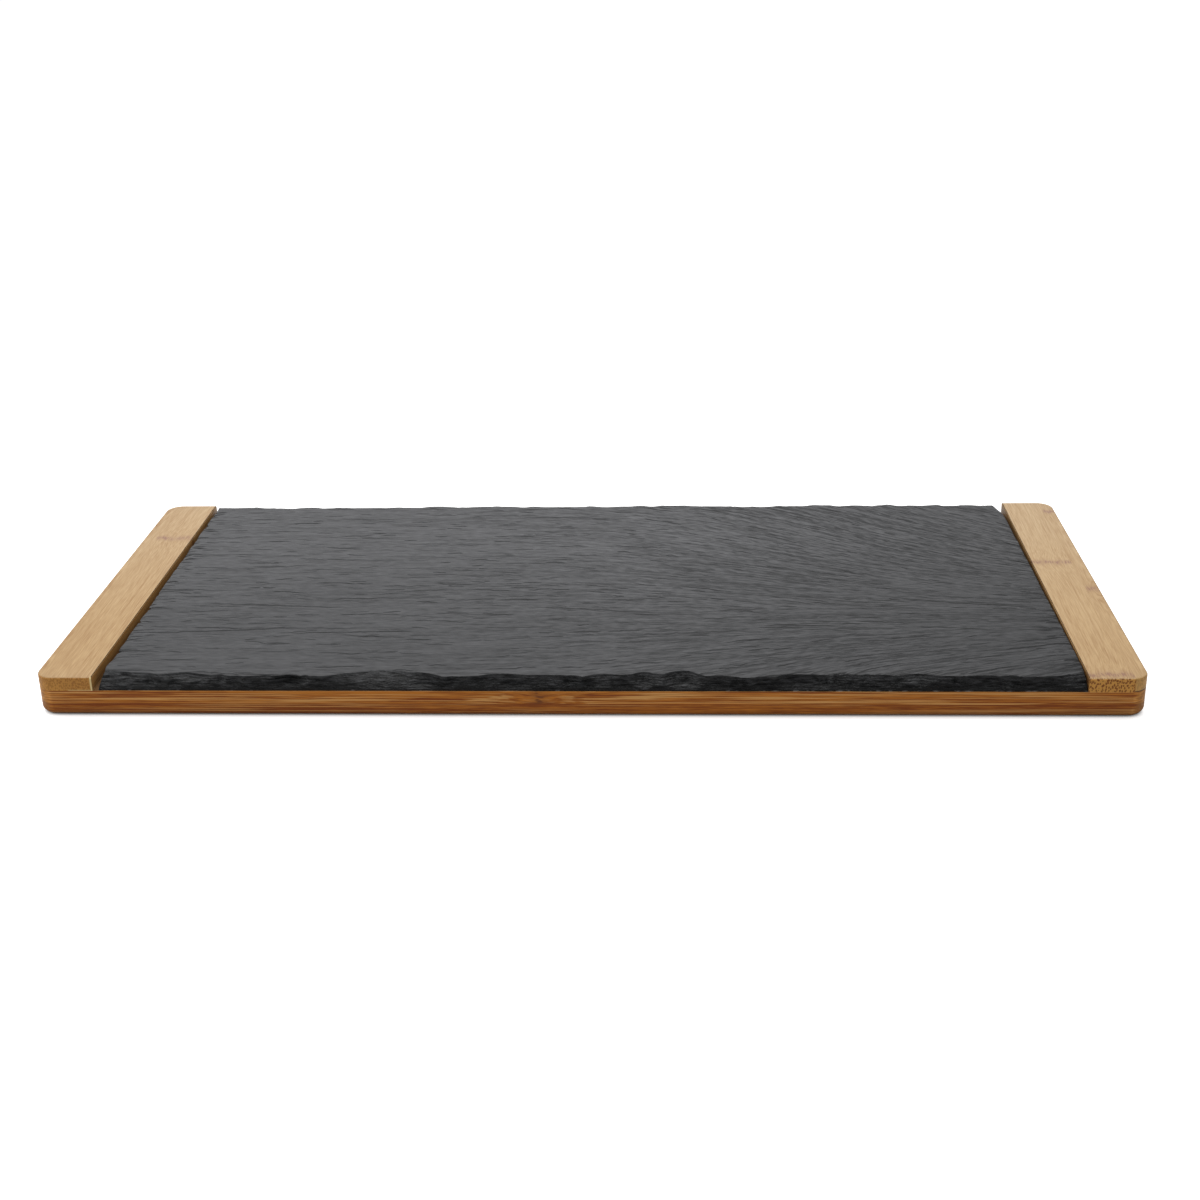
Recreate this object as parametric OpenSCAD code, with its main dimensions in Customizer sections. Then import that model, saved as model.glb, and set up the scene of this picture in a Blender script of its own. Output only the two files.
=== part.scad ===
// Slate serving board on a laminated bamboo tray.
// A loose slate plate lies on a thin bamboo base, between two handle strips that
// are glued across its ends. Origin: centre of the underside, X along the board,
// -Y towards the front, Z up.

/* [Bamboo tray] */
// Length of the tray, over both handle strips
tray_length = 452; // [300:1:600]
// Depth of the tray, front to back
tray_depth = 205; // [140:1:320]
// Radius of the tray's corners in plan
corner_radius = 7.5; // [5:0.5:18]
// Width of the chamfer round the underside, which fingers get under
underside_chamfer = 3; // [1.5:0.1:3.5]
// Softened edge round the top of the handle strips
top_arris = 0.6; // [0.3:0.1:1.2]

/* [Base plies] */
// Thickness of the lower ply
lower_ply_thickness = 5.8; // [4:0.1:10]
// Thickness of the upper ply
upper_ply_thickness = 5.6; // [4:0.1:10]

/* [Handle strips] */
// Width of each handle strip
handle_width = 24.3; // [20:0.1:40]
// Thickness of the handle strips
handle_thickness = 6; // [4:0.1:10]
// Width of the narrow slat along the outside of each strip
outer_slat_width = 6; // [4:0.1:10]

/* [Slate plate] */
// Thickness of the slate plate
slate_thickness = 6; // [4:0.1:10]
// Room between the slate and the handle strips, left and right together
slate_play = 3.5; // [3:0.1:6]
// Gap at the front on the right, the side that the slate is pushed to
slate_right_gap = 0.3; // [0.3:0.1:0.6]
// How far the slate's front edge is behind the tray's front edge
slate_front_gap = 0.3; // [0:0.1:3]
// How far the slate's back edge is inside the tray's back edge
slate_back_gap = 0.5; // [0:0.1:3]
// How far the hand-cut slate's sides lean to the left towards its back
slate_skew = 1.5; // [0:0.1:2]
// Width of the hand-dressed bevel round the slate's top
dressed_width = 2.4; // [1:0.1:4]
// How far the chipped rim wanders in from the straight line
chip_depth = 0.9; // [0.2:0.1:1.5]
// Width of the piece broken off the back right corner
broken_corner_width = 3; // [1:0.5:8]
// Length of that piece along the slate's right side
broken_corner_length = 17; // [5:0.5:25]
// Spacing of the chips along the rim
chip_pitch = 6.5; // [5:0.5:20]

/* [Hidden] */
$fn = 64;
// How far a cutting box reaches past what it cuts
overcut = 1;

base_top = lower_ply_thickness + upper_ply_thickness;
tray_top = base_top + handle_thickness;

// Slats side by side in the upper ply; the lower ply has one more, because its
// seams fall half way between those above
upper_slat_count = 10;
lower_slat_count = upper_slat_count + 1;
slat_width = tray_depth / upper_slat_count;
seam_offset = slat_width / 2;

handle_inner_x = tray_length / 2 - handle_width;
slate_length = 2 * handle_inner_x - slate_play;
slate_front_y = -tray_depth / 2 + slate_front_gap;
slate_back_y = tray_depth / 2 - slate_back_gap;
slate_depth = slate_back_y - slate_front_y;

bamboo_light = "#cdae82";
bamboo_honey = "#b98a55";
slate_grey = "#4d4e51";

// Name of a base slat's node, such as upper_base_slat_03
function slat_name(ply, number) = str(ply, "_base_slat_", number < 10 ? "0" : "", number);

// Plan outline of the tray: a rectangle with round corners
module tray_outline() {
    square([tray_length, tray_depth - 2 * corner_radius], center = true);
    square([tray_length - 2 * corner_radius, tray_depth], center = true);
    for (x = [-1, 1], y = [-1, 1])
        translate([x * (tray_length / 2 - corner_radius), y * (tray_depth / 2 - corner_radius)])
            circle(r = corner_radius);
}

// A layer of the tray's outline whose sides lean in by `lean` towards the bottom
module leaning_layer(lean) {
    flat_x = tray_length - 2 * corner_radius;
    flat_y = tray_depth - 2 * corner_radius;
    translate([-flat_x / 2, 0, 0]) rotate([90, 0, 90]) linear_extrude(flat_x)
        polygon([[-tray_depth / 2 + lean, 0], [tray_depth / 2 - lean, 0],
                 [tray_depth / 2, lean], [-tray_depth / 2, lean]]);
    translate([0, flat_y / 2, 0]) rotate([90, 0, 0]) linear_extrude(flat_y)
        polygon([[-tray_length / 2 + lean, 0], [tray_length / 2 - lean, 0],
                 [tray_length / 2, lean], [-tray_length / 2, lean]]);
    for (x = [-1, 1], y = [-1, 1])
        translate([x * flat_x / 2, y * flat_y / 2, 0])
            cylinder(h = lean, r1 = corner_radius - lean, r2 = corner_radius);
}

// The whole base before it is divided into slats: outline with a chamfered underside
module base_blank() {
    leaning_layer(underside_chamfer);
    translate([0, 0, underside_chamfer])
        linear_extrude(base_top - underside_chamfer) tray_outline();
}

// The handle layer before it is divided: outline with a softened top edge
module handle_blank() {
    translate([0, 0, base_top])
        linear_extrude(handle_thickness - top_arris) tray_outline();
    translate([0, 0, tray_top]) mirror([0, 0, 1]) leaning_layer(top_arris);
}

// One slat of a base ply, cut from the base between two depths and two heights
module base_slat(y_from, y_to, z_from, z_to) {
    intersection() {
        base_blank();
        translate([-tray_length / 2 - overcut, y_from, z_from])
            cube([tray_length + 2 * overcut, y_to - y_from, z_to - z_from]);
    }
}

// Slats of the upper ply, counted from the front
module upper_base_slat(number) {
    front = -tray_depth / 2 + (number - 1) * slat_width;
    color(bamboo_light)
        base_slat(front, front + slat_width, lower_ply_thickness, base_top);
}

// Slats of the lower ply, half a slat out of step, counted from the front
module lower_base_slat(number) {
    seam = -tray_depth / 2 + (number - 1) * slat_width - seam_offset;
    front = max(-tray_depth / 2, seam);
    back = min(tray_depth / 2, seam + slat_width);
    color(bamboo_honey)
        base_slat(front, back, 0, lower_ply_thickness);
}

// One slat of a handle strip between two distances from the tray's end.
// side is -1 on the left and 1 on the right.
module handle_slat(side, from_end, to_end) {
    near = tray_length / 2 - from_end;
    far = tray_length / 2 - to_end;
    color(bamboo_light)
        intersection() {
            handle_blank();
            translate([side > 0 ? far : -near, -tray_depth / 2 - overcut, base_top])
                cube([near - far, tray_depth + 2 * overcut, handle_thickness]);
        }
}

module outer_handle_slat(side) {
    handle_slat(side, 0, outer_slat_width);
}

module inner_handle_slat(side) {
    handle_slat(side, outer_slat_width, handle_width);
}

// How far the dressed rim wanders at distance s along it, between 0 and 1:
// three waves of unrelated lengths, so that the chips don't repeat
function wander(s, seed) =
    0.5 + 0.22 * sin(s * 5.1 + seed * 97) + 0.17 * sin(s * 11.7 + seed * 41)
        + 0.11 * sin(s * 27.3 + seed * 173);

// Straight points of one side from a to b, without the last one
function side_points(a, b) =
    let (count = max(4, round(norm(b - a) / chip_pitch)))
    [for (i = [0 : count - 1]) a + (b - a) * i / count];

// The slate's leaning sides: where each one is at depth y
function right_side(y) = handle_inner_x - slate_right_gap
    - slate_skew * (y - slate_front_y) / slate_depth;
function left_side(y) = right_side(y) - slate_length;

// Corner points of the slate in plan, counterclockwise, with the broken corner
slate_corners = [
    [left_side(slate_front_y), slate_front_y],
    [right_side(slate_front_y), slate_front_y],
    [right_side(slate_back_y - broken_corner_length), slate_back_y - broken_corner_length],
    [right_side(slate_back_y) - broken_corner_width, slate_back_y],
    [left_side(slate_back_y), slate_back_y]
];

rim_points = [for (i = [0 : len(slate_corners) - 1])
    for (p = side_points(slate_corners[i], slate_corners[(i + 1) % len(slate_corners)])) p];
rim_count = len(rim_points);

// A rim point moved inwards by the same amount from each side that it is near
function drawn_in(p, inset) = [
    min(max(p.x, left_side(p.y) + inset), right_side(p.y) - inset),
    min(max(p.y, slate_front_y + inset), slate_back_y - inset)
];

// Rings of the slate from the bottom up: a fairly even lower edge, a chipped
// middle and the inner line of the dressed bevel
function ring(level) = [for (i = [0 : rim_count - 1])
    let (s = i * chip_pitch,
         chip = chip_depth * wander(s, level),
         bevel = dressed_width * (0.6 + 0.8 * wander(s, 5)),
         inset = level == 0 ? 0.25 * chip : level == 1 ? 0.5 * chip : chip + bevel,
         share = level == 0 ? 0 : level == 1 ? 0.3 + 0.35 * wander(s, 7) : 1,
         p = drawn_in(rim_points[i], inset))
    [p.x, p.y, base_top + share * slate_thickness]];

module slate_plate() {
    points = concat(ring(0), ring(1), ring(2));
    bottom = [[for (i = [0 : rim_count - 1]) i]];
    top = [[for (i = [rim_count - 1 : -1 : 0]) 2 * rim_count + i]];
    walls = [for (level = [0, 1], i = [0 : rim_count - 1])
        let (j = (i + 1) % rim_count, a = level * rim_count, b = a + rim_count)
        each [[a + i, b + i, b + j], [a + i, b + j, a + j]]];
    color(slate_grey)
        polyhedron(points = points, faces = concat(bottom, top, walls));
}

slate_plate();
outer_handle_slat(-1);  // left_handle_outer_slat
inner_handle_slat(-1);  // left_handle_inner_slat
inner_handle_slat(1);  // right_handle_inner_slat
outer_handle_slat(1);  // right_handle_outer_slat
for (number = [1 : upper_slat_count])
    upper_base_slat(number);
for (number = [1 : lower_slat_count])
    lower_base_slat(number);
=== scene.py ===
import math

import bpy
import numpy as np
from mathutils import Matrix, Vector


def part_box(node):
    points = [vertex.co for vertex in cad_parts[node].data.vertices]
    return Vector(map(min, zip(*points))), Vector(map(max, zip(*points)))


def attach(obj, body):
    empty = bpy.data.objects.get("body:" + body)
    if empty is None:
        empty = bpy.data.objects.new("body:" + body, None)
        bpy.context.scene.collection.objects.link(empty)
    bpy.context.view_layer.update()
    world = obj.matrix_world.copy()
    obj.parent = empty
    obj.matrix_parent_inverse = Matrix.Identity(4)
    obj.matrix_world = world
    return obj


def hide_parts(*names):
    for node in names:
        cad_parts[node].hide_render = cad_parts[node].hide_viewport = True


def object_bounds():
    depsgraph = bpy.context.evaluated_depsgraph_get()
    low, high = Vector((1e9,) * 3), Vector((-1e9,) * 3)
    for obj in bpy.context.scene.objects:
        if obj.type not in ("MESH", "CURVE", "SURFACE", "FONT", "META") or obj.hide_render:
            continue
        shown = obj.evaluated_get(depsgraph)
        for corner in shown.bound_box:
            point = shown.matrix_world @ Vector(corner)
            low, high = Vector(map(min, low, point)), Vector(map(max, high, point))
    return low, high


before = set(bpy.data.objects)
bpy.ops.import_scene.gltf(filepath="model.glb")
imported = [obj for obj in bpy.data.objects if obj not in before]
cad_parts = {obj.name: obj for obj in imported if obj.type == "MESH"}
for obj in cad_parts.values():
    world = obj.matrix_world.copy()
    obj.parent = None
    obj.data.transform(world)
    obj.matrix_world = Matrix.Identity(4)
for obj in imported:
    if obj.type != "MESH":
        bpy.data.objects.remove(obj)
cad_low, cad_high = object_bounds()

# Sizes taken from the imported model, in metres

HALF_LENGTH = cad_high.x
HALF_DEPTH = cad_high.y
TRAY_TOP = cad_high.z
HANDLE_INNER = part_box("right_handle_inner_slat")[0].x
HANDLE_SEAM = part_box("right_handle_inner_slat")[1].x
SLATE_LOW, SLATE_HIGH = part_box("slate_plate")

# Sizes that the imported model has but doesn't state

MM = 0.001
CORNER_RADIUS = 7.5 * MM
UNDERSIDE_CHAMFER = 3 * MM
SLATE_SKEW = 1.5 * MM
BROKEN_CORNER = (3 * MM, 17 * MM)
SLATE_LENGTH = SLATE_HIGH.x - SLATE_LOW.x - SLATE_SKEW
SLATE_DEPTH = SLATE_HIGH.y - SLATE_LOW.y

# Finish of the bamboo, and the number of mesh points on each stretch of a slat

TOP_ROUNDING = 0.9 * MM
INNER_ROUNDING = 0.35 * MM
CHAMFER_POWER = 1.9
CORNER_POINTS = 14
ROUNDING_POINTS = 9
LIP_POINTS = 5
ACROSS_POINTS = 13
BASE_POINTS = 25
HANDLE_POINTS = 21
SLAT_SHARP_ANGLE = 35


def smooth_step(t):
    """The curve 3t^2 - 2t^3, held at 0 before 0 and at 1 after 1."""
    t = np.clip(t, 0, 1)
    return t * t * (3 - 2 * t)


def lattice_noise(x, y, seed):
    """Noise from 0 to 1 on the plane: one random value on each whole-number point,
    blended between the four nearest with smooth_step."""
    size = 256
    table = np.random.default_rng(seed).random((size, size))
    column = np.floor(x).astype(int)
    row = np.floor(y).astype(int)
    tx = smooth_step(x - column)
    ty = smooth_step(y - row)
    left, right = column % size, (column + 1) % size
    front, back = row % size, (row + 1) % size
    near = table[left, front] * (1 - tx) + table[right, front] * tx
    far = table[left, back] * (1 - tx) + table[right, back] * tx
    return near * (1 - ty) + far * ty


def layered_noise(x, y, seed):
    """Sum of three lattice noises, each twice as fine and half as strong as the one
    before, scaled back to lie from 0 to 1."""
    total = np.zeros(np.broadcast(x, y).shape)
    weight = 0.0
    for layer in range(3):
        fineness = 2 ** layer
        total = total + lattice_noise(x * fineness, y * fineness, seed + layer) / fineness
        weight += 1 / fineness
    return total / weight


def taper(distance, reach, power=2):
    """The falloff (1 - distance / reach)^power, held at 0 beyond reach."""
    return np.clip(1 - distance / reach, 0, 1) ** power


def mesh_piece(name, points, faces, attributes, sharp_angle):
    """A mesh object at the origin from points (n x 3) and quads (m x 4), with one point
    attribute for each array in attributes, and edges sharper than sharp_angle left hard."""
    mesh = bpy.data.meshes.new(name)
    mesh.from_pydata(points.tolist(), [], faces.tolist())
    for title, values in attributes.items():
        kind, field = ("FLOAT_VECTOR", "vector") if values.ndim == 2 else ("FLOAT", "value")
        layer = mesh.attributes.new(title, kind, "POINT")
        layer.data.foreach_set(field, values.astype(np.float32).ravel())
    mesh.polygons.foreach_set("use_smooth", np.ones(len(mesh.polygons), bool))
    mesh.update()
    mesh.set_sharp_from_angle(angle=math.radians(sharp_angle))
    piece = bpy.data.objects.new(name, mesh)
    bpy.context.scene.collection.objects.link(piece)
    return piece


def lattice_box(us, vs, ws):
    """The points of the lattice us x vs x ws that lie on its outside, as three arrays, and
    the quads of its six sides, each side a grid whose faces point outwards."""
    shape = (len(us), len(vs), len(ws))
    outside = np.ones(shape, bool)
    outside[1:-1, 1:-1, 1:-1] = False
    index = np.cumsum(outside).reshape(shape) - 1
    i, j, k = np.nonzero(outside)
    sides = []
    for axis in range(3):
        for end in (0, -1):
            grid = np.take(index, end, axis=axis)
            quads = np.stack([grid[:-1, :-1], grid[1:, :-1], grid[1:, 1:], grid[:-1, 1:]], -1)
            quads = quads.reshape(-1, 4)
            sides.append(quads[:, ::-1] if (end == 0) != (axis == 1) else quads)
    return us[i], vs[j], ws[k], np.concatenate(sides)


# Bamboo slats

def distinct(*places):
    """The places of all the lists in rising order, each one once, to 0.1 micrometre."""
    return np.unique(np.round(np.concatenate(places), 7))


def stations(start, stop, straight):
    """Places from start to stop across the tray: even steps of angle where the corners'
    arcs are, past plus or minus straight, and a few even steps between."""
    angles = np.linspace(0, math.pi / 2, CORNER_POINTS)
    arc = straight + CORNER_RADIUS * np.sin(angles)
    middle = np.linspace(-straight, straight, ACROSS_POINTS)
    places = np.concatenate([[start, stop], arc, -arc, middle])
    return distinct(places[(places >= start) & (places <= stop)])


def outline_reach(across, half_across, half_along, inset):
    """Reach of the tray's rounded outline, drawn in by inset, at a place across it.
    Beyond the corner's centre the reach is the centre plus the arc's height, which is
    radius x sqrt(1 - (offset / radius)^2). Returns the place drawn in, and the reach."""
    centre = half_across - CORNER_RADIUS
    offset = np.clip((np.abs(across) - centre) / CORNER_RADIUS, 0, 1)
    radius = CORNER_RADIUS - inset
    place = np.where(offset > 0, np.sign(across) * (centre + offset * radius), across)
    reach = half_along - CORNER_RADIUS + radius * np.sqrt(1 - offset ** 2)
    return place, reach


def underside_inset(z):
    """How far the tray's side is drawn in at height z: a superellipse between a quarter
    round (power 2) and a flat chamfer (power 1)."""
    rest = np.clip(1 - z / UNDERSIDE_CHAMFER, 0, 1)
    return UNDERSIDE_CHAMFER * (1 - (1 - rest ** CHAMFER_POWER) ** (1 / CHAMFER_POWER))


def top_inset(z, rounding):
    """How far a side is drawn in at height z below a quarter-round edge at the tray's top."""
    rise = np.clip(1 - (TRAY_TOP - z) / rounding, 0, 1)
    return rounding * (1 - np.sqrt(1 - rise ** 2))


def rounded_heights(low, high, edge, size):
    """Heights from low to high, close together over the rounding of that size at edge,
    which is either low or high."""
    turn = size * np.sin(np.linspace(0, math.pi / 2, ROUNDING_POINTS))
    near = edge + turn if edge == low else edge - turn
    return distinct([low, high], near)


def grain_attributes(along, across, depth, half_across, slat_seed, tone, node_places, seam=0):
    """Attributes for the bamboo material: grain is (along, across, depth) in metres, moved
    to a place of its own in the pattern for each slat; slat is (share of the width, share of
    the thickness, tone); from_node is about the distance from the culm's nearest node: with
    two nodes it is (along - a)(along - b) / |a - b|, which is nought at both. seam is 1 where
    the joint under the slat is open and -1 where dried glue shows. The pattern hardly moves
    just behind the tray's long sides, which wraps it round the corners."""
    draw = np.random.default_rng(slat_seed).random(3)
    inside = half_across - np.abs(across)
    wrapped = inside * smooth_step(inside / CORNER_RADIUS)
    pattern = np.sign(across) * (half_across - wrapped)
    grain = np.stack([along + draw[0], pattern + draw[1], depth + draw[2]], -1)
    width = (across - across.min()) / np.ptp(across)
    thickness = (depth - depth.min()) / np.ptp(depth)
    slat = np.stack([width, thickness, np.full_like(width, tone)], -1)
    between_nodes = np.prod(np.abs(np.diff(node_places)))
    from_node = np.prod(along[:, None] - np.array(node_places), axis=1) / between_nodes
    return {"grain": grain, "slat": slat, "from_node": from_node, "seam": np.full_like(width, seam)}


def base_slat(name, material, seed, tone, node_places):
    """A slat of the base, along X, in the CAD slat's place. The lattice's u runs from end to
    end as a share of the outline's reach, v front to back and w up."""
    low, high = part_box(name)
    ends = np.linspace(-1, 1, BASE_POINTS)
    places = stations(low.y, high.y, HALF_DEPTH - CORNER_RADIUS)
    if low.z < UNDERSIDE_CHAMFER:
        heights = rounded_heights(low.z, high.z, low.z, UNDERSIDE_CHAMFER)
    else:
        heights = np.array([low.z, high.z])
    u, v, z, faces = lattice_box(ends, places, heights)
    y, reach = outline_reach(v, HALF_DEPTH, HALF_LENGTH, underside_inset(z))
    x = u * reach
    points = np.stack([x, y, z], -1)
    attributes = grain_attributes(x, v, z, HALF_DEPTH, seed, tone, node_places)
    piece = mesh_piece(name + "_sanded", points, faces, attributes, SLAT_SHARP_ANGLE)
    piece.data.materials.append(material)
    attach(piece, "tray")
    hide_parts(name)


def handle_slat(name, material, seed, tone, node_places, seam):
    """A slat of a handle strip, along Y, in the CAD slat's place. u runs across the strip,
    v is a share of the outline's reach from front to back, and w runs up. It is made on the
    right, and mirrored for the left strip."""
    low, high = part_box(name)
    side = 1 if low.x > 0 else -1
    near, far = sorted((abs(low.x), abs(high.x)))
    places = stations(near, far, HALF_LENGTH - CORNER_RADIUS)
    if near < HANDLE_SEAM - MM:
        places = distinct(places, near + INNER_ROUNDING * np.linspace(0, 1, LIP_POINTS))
    heights = rounded_heights(low.z, high.z, high.z, TOP_ROUNDING)
    u, v, z, faces = lattice_box(places, np.linspace(-1, 1, HANDLE_POINTS), heights)
    x, reach = outline_reach(u, HALF_LENGTH, HALF_DEPTH, top_inset(z, TOP_ROUNDING))
    on_inner_wall = np.isclose(u, HANDLE_INNER, atol=0.001 * MM)
    x = np.where(on_inner_wall, u + top_inset(z, INNER_ROUNDING), x)
    y = v * reach
    if side < 0:
        faces = faces[:, ::-1]
    points = np.stack([side * x, y, z], -1)
    attributes = grain_attributes(y, side * u, z, HALF_LENGTH, seed, tone, node_places, seam)
    # Shade on the wall beside the slate: d^2 / (d^2 + w^2) at depth d in a gap of width w
    gap = HANDLE_INNER - SLATE_HIGH.x if side > 0 else HANDLE_INNER + SLATE_LOW.x + SLATE_SKEW
    below_top = TRAY_TOP - z
    attributes["shade"] = np.where(on_inner_wall, below_top ** 2 / (below_top ** 2 + gap ** 2), 0)
    piece = mesh_piece(name + "_sanded", points, faces, attributes, SLAT_SHARP_ANGLE)
    piece.data.materials.append(material)
    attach(piece, "tray")
    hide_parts(name)


# Slate plate

SLATE_COLUMNS = 360
SLATE_ROWS = 180
SLATE_SHARP_ANGLE = 45
LAYERS = 7
# The rows lie closer together towards the front and the back by this share
ROW_CROWDING = 0.45
# How far from its edge the riven face gives way to what the edge does
FALLOFF = 20 * MM
DEEPEST_CUT = 8 * MM
# Flakes of the dressed edge: mean spacing, width and depth, and height as a share of the edge
WIDE_FLAKES = {"spacing": 11 * MM, "width": 7.5 * MM, "height": 0.8, "depth": 3.2 * MM}
SMALL_FLAKES = {"spacing": 3.6 * MM, "width": 2.4 * MM, "height": 0.5, "depth": 1.7 * MM}
# The three widest flakes of the front edge, as photographed: depth and reach
RIGHT_CORNER_FLAKE = (3 * MM, 16 * MM)
LEFT_CORNER_FLAKE = (4.5 * MM, 40 * MM)
MIDDLE_FLAKE = (5 * MM, 22 * MM)
MIDDLE_FLAKE_PLACE = 115 * MM
# How far the front left corner stands out from the sawn side, and from where
CORNER_FLARE = (0.9 * MM, 30 * MM)
# The grain fans out over FAN_WIDTH from FAN_START on, up and down from FAN_LINE
FAN_START = -60 * MM
FAN_WIDTH = 210 * MM
FAN_LINE = -42 * MM
FAN_BEND = 55 * MM
FAN_GAIN = 0.8
# Steps of the split face: spacing across the grain, height and seed
FACE_STEPS = ((5.5 * MM, 0.09 * MM, 91), (12 * MM, 0.12 * MM, 101))
FACE_SWELL = 0.25 * MM
# Along its lip the face bends down by up to LIP_DROP over the last LIP_WIDTH
LIP_DROP = 0.7 * MM
LIP_WIDTH = 3 * MM
# How ragged the other sides are as a share of the front: the back, the sawn sides, and
# what these have more at the front, left and right, over NEAR_FRONT
BACK_SHARE = 0.55
SAWN_SHARE = 0.04
LEFT_FRONT_SHARE = 0.25
RIGHT_FRONT_SHARE = 0.2
NEAR_FRONT = 12 * MM
# Nicks in the sawn sides: how far in the face feels them, and how deep the right ones are
# as a share of the left ones
NICK_REACH = 4 * MM
RIGHT_NICK_SHARE = 0.4
# The underside's middle strip stops this far from the slate's ends, and is this share of
# its width
SPINE_INSET = 100 * MM
SPINE_SHARE = 0.02


def scoops(place, level, length, seed, spacing, width, height, depth):
    """Depth of the flakes struck off an edge: each flake is a paraboloid hollow, deepest
    at its own place and level, and where flakes meet the deeper one wins, which leaves a
    ridge between them."""
    rng = np.random.default_rng(seed)
    count = int(length / spacing)
    centres = (np.arange(count) + rng.random(count)) * spacing
    widths = width * rng.uniform(0.6, 1.7, count)
    heights = height * rng.uniform(0.5, 1.3, count)
    levels = rng.uniform(0.45, 1.15, count)
    depths = depth * rng.uniform(0.1, 1.0, count) ** 1.5
    hollow = depths * (1 - ((place[..., None] - centres) / widths) ** 2
                       - ((level[..., None] - levels) / heights) ** 2)
    return np.clip(hollow.max(-1), 0, None)


def dressed_edge(place, level, length, seed):
    """How far the slate's side is inside its straight outline, at a place along it and a
    level from 0 at the bottom to 1 at the top. The side is a stack of layers: each one is
    nearly upright, at the depth that a slope, wide and small flakes and its own wandering
    line have near its middle, so that ledges are left between the layers. The slope leans
    in as level^1.4, and the flakes fade out towards the foot."""
    layer = np.clip(np.floor(level * LAYERS - 1e-6), 0, LAYERS - 1)
    middle = (layer + 0.5) / LAYERS
    level = level + 0.4 * (middle - level)
    one_row = np.zeros_like(place)
    deep = smooth_step((layered_noise(place / (38 * MM), one_row, seed + 1) - 0.55) / 0.25)
    lean = 1.0 + 2.4 * layered_noise(place / (17 * MM), one_row, seed + 5) + 1.3 * deep
    slope = MM * level ** 1.4 * lean
    wide = scoops(place, level, length, seed + 2, **WIDE_FLAKES)
    small = scoops(place, level, length, seed + 3, **SMALL_FLAKES)
    wander = 1.1 * MM * (layered_noise(place / (6 * MM), layer * 7.3, seed + 4) - 0.4)
    ragged = np.maximum(wide, small) + wander
    above_foot = np.clip(level / 0.35, 0, 1)
    return np.clip(slope + ragged * above_foot, 0, DEEPEST_CUT)


def notches(place, length, seed):
    """Depth of the small nicks where the riven face's creases run out over a side: one in
    every 9 mm or so, triangles 1.8 mm wide and mostly shallow."""
    rng = np.random.default_rng(seed)
    count = int(length / (9 * MM))
    centres = rng.uniform(0, length, count)
    depths = rng.uniform(0.2, 1.0, count) ** 3 * 2.2 * MM
    shape = 1 - np.abs(place[..., None] - centres) / (0.9 * MM)
    return np.clip((depths * shape).max(-1), 0, None)


def slate_place(u, v, level):
    """Plan position on the slate for shares u and v of its length and depth, and a level
    from 0 at its foot to 1 at its face. The nominal outline is a parallelogram with a corner
    broken off. Near the front and the back a point is drawn in by dressed_edge times a taper
    of reach FALLOFF, and at the front by three wide flakes that deepen as level^1.5. The
    left and right sides are sawn: they are ragged only near the front, and have nicks."""
    from_left, from_right = u * SLATE_LENGTH, (1 - u) * SLATE_LENGTH
    from_front, from_back = v * SLATE_DEPTH, (1 - v) * SLATE_DEPTH
    x = SLATE_HIGH.x - SLATE_SKEW * v - from_right
    y = SLATE_LOW.y + from_front
    off_corner = np.maximum(from_right / BROKEN_CORNER[0], from_back / BROKEN_CORNER[1])
    broken = np.clip(1 - off_corner, 0, 1) / 2
    flakes = RIGHT_CORNER_FLAKE[0] * taper(from_right, RIGHT_CORNER_FLAKE[1])
    flakes = flakes + LEFT_CORNER_FLAKE[0] * taper(from_left, LEFT_CORNER_FLAKE[1], power=1)
    off_middle = np.abs(from_left - MIDDLE_FLAKE_PLACE)
    flakes = flakes + MIDDLE_FLAKE[0] * taper(off_middle, MIDDLE_FLAKE[1], power=1)
    struck = dressed_edge(from_left, level, SLATE_LENGTH, seed=11) + flakes * level ** 1.5
    front = struck * taper(from_front, FALLOFF)
    back = BACK_SHARE * dressed_edge(from_left, level, SLATE_LENGTH, seed=23) * taper(from_back, FALLOFF)
    near_front = level * taper(from_front, NEAR_FRONT)
    left = dressed_edge(from_front, level, SLATE_DEPTH, seed=37)
    left = left * (SAWN_SHARE + LEFT_FRONT_SHARE * near_front)
    left = (left - CORNER_FLARE[0] * taper(from_front, CORNER_FLARE[1])) * taper(from_left, FALLOFF)
    left = left + notches(from_front, SLATE_DEPTH, seed=41) * taper(from_left, NICK_REACH)
    right = dressed_edge(from_front, level, SLATE_DEPTH, seed=53)
    right = right * RIGHT_FRONT_SHARE * near_front * taper(from_right, FALLOFF)
    nicks = RIGHT_NICK_SHARE * notches(from_front, SLATE_DEPTH, seed=43)
    right = right + nicks * taper(from_right, NICK_REACH)
    return x + left - right - broken * BROKEN_CORNER[0], y + front - back - broken * BROKEN_CORNER[1]


def cleavage(x, y):
    """Direction of the split face's grain. It runs along X on the left and fans out on the
    right. Lines of equal across = y + G(x) h(y) are the grain, where G is the integral of a
    smooth step over FAN_WIDTH and h = FAN_GAIN tanh((y - FAN_LINE) / FAN_BEND). Returns
    across and the lines' slope, which is -G'(x) h / (1 + G h')."""
    t = np.clip((x - FAN_START) / FAN_WIDTH, 0, 1)
    reach = FAN_WIDTH * (t ** 3 - t ** 4 / 2) + np.clip(x - FAN_START - FAN_WIDTH, 0, None)
    bend = np.tanh((y - FAN_LINE) / FAN_BEND)
    across = y + FAN_GAIN * reach * bend
    slope = -smooth_step(t) * FAN_GAIN * bend / (1 + FAN_GAIN * reach * (1 - bend ** 2) / FAN_BEND)
    return across, slope


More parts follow.
